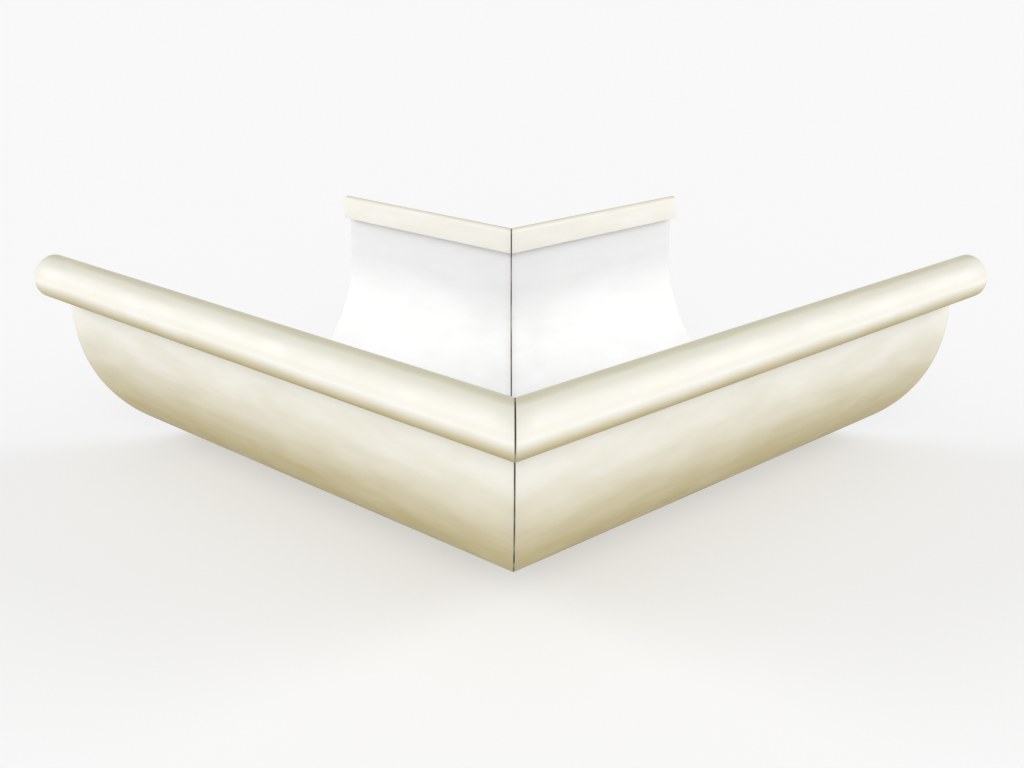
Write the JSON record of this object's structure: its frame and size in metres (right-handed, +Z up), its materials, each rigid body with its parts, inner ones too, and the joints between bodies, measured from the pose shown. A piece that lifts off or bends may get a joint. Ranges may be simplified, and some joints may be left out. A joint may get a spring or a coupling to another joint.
{
  "type": "gutter external angle",
  "caption": "External right-angle corner of a half-round rain gutter in coated sheet steel, mitred, with a rolled front bead and a folded back hem.",
  "frame": {"origin": "middle of the object's box, on the surface that it lies on; the legs' middle lines cross at x = y = -47 mm", "axes": "+X along the right leg to its open end, +Y along the left leg to its open end, +Z up out of the trough; the outer corner points to -X -Y"},
  "size_m": [0.274, 0.274, 0.0965],
  "materials": {
    "coated_steel": "satin cream coat outside, on the bead and on the hem; white coat in the trough",
    "joint_filler": "matt filled joint, flush but for a fine line"
  },
  "bodies": {
    "root": {"left_leg": "coated_steel", "right_leg": "coated_steel", "mitre_seam": "joint_filler"}
  },
  "joints": []
}
